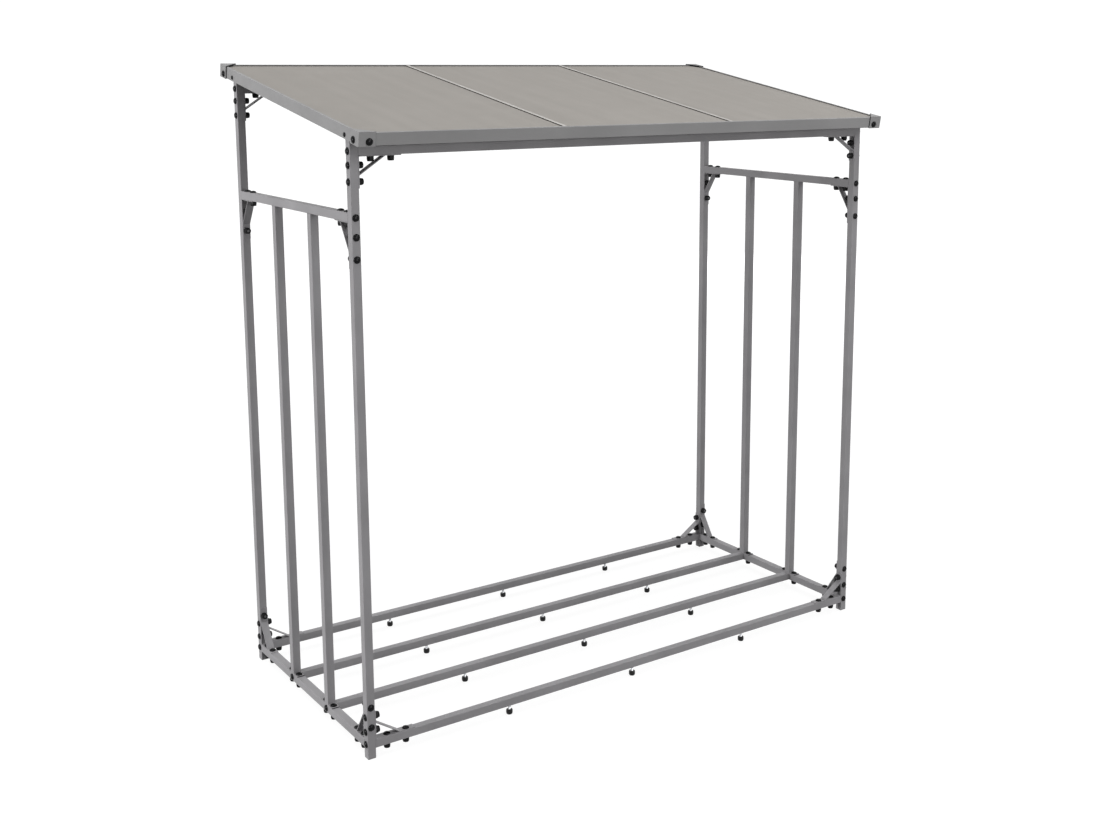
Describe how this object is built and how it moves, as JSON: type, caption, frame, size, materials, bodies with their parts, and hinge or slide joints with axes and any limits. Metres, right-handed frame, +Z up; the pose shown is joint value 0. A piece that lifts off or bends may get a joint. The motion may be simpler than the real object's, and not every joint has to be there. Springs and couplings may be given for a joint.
{
  "type": "log store",
  "caption": "Freestanding log store: an open frame of bolted square steel tube on levelling feet, under a sloping sheet metal roof.",
  "frame": {"origin": "on the floor, in the middle of the whole object's width and depth", "axes": "+X to the right seen from the open low front, +Y to the back where the roof is higher, +Z up"},
  "size_m": [1.9454, 1.0178, 1.9843],
  "materials": {
    "frame_steel": "satin grey powder coat on square steel tube",
    "brace_steel": "satin grey powder coat on bent strap",
    "roof_rim": "satin grey coat on folded sheet",
    "roof_strip": "satin extruded strip",
    "roof_sheet": "warm grey coat on pressed sheet",
    "foot_plastic": "matt black moulded plastic",
    "plug_plastic": "matt grey moulded plastic",
    "zinc_stud": "bright zinc plate"
  },
  "bodies": {
    "root": {"brace_floor_front_left": "brace_steel", "brace_floor_front_right": "brace_steel", "brace_floor_rear_left": "brace_steel", "brace_floor_rear_right": "brace_steel", "brace_roof_front_left": "brace_steel", "brace_roof_front_right": "brace_steel", "brace_roof_rear_left": "brace_steel", "brace_roof_rear_right": "brace_steel", "brace_side_lower_front_left": "brace_steel", "brace_side_lower_front_right": "brace_steel", "brace_side_lower_rear_left": "brace_steel", "brace_side_lower_rear_right": "brace_steel", "brace_side_upper_front_left": "brace_steel", "brace_side_upper_front_right": "brace_steel", "brace_side_upper_rear_left": "brace_steel", "brace_side_upper_rear_right": "brace_steel", "floor_rail_front": "frame_steel", "floor_rail_mid_front": "frame_steel", "floor_rail_mid_rear": "frame_steel", "floor_rail_rear": "frame_steel", "foot_cups": "foot_plastic", "foot_studs": "zinc_stud", "post_foot_plugs": "plug_plastic", "post_front_left": "frame_steel", "post_front_right": "frame_steel", "post_rear_left": "frame_steel", "post_rear_right": "frame_steel", "roof_corner_caps": "roof_rim", "roof_joint_strips": "roof_strip", "roof_panel_left": "roof_sheet", "roof_panel_middle": "roof_sheet", "roof_panel_right": "roof_sheet", "roof_rim_front": "roof_rim", "roof_rim_left": "roof_rim", "roof_rim_rear": "roof_rim", "roof_rim_right": "roof_rim", "side_rail_lower_left": "frame_steel", "side_rail_lower_right": "frame_steel", "side_rail_upper_left": "frame_steel", "side_rail_upper_right": "frame_steel", "upper_rail_front": "frame_steel", "upper_rail_rear": "frame_steel", "upright_front_left": "frame_steel", "upright_front_right": "frame_steel", "upright_rear_left": "frame_steel", "upright_rear_right": "frame_steel"}
  },
  "joints": []
}
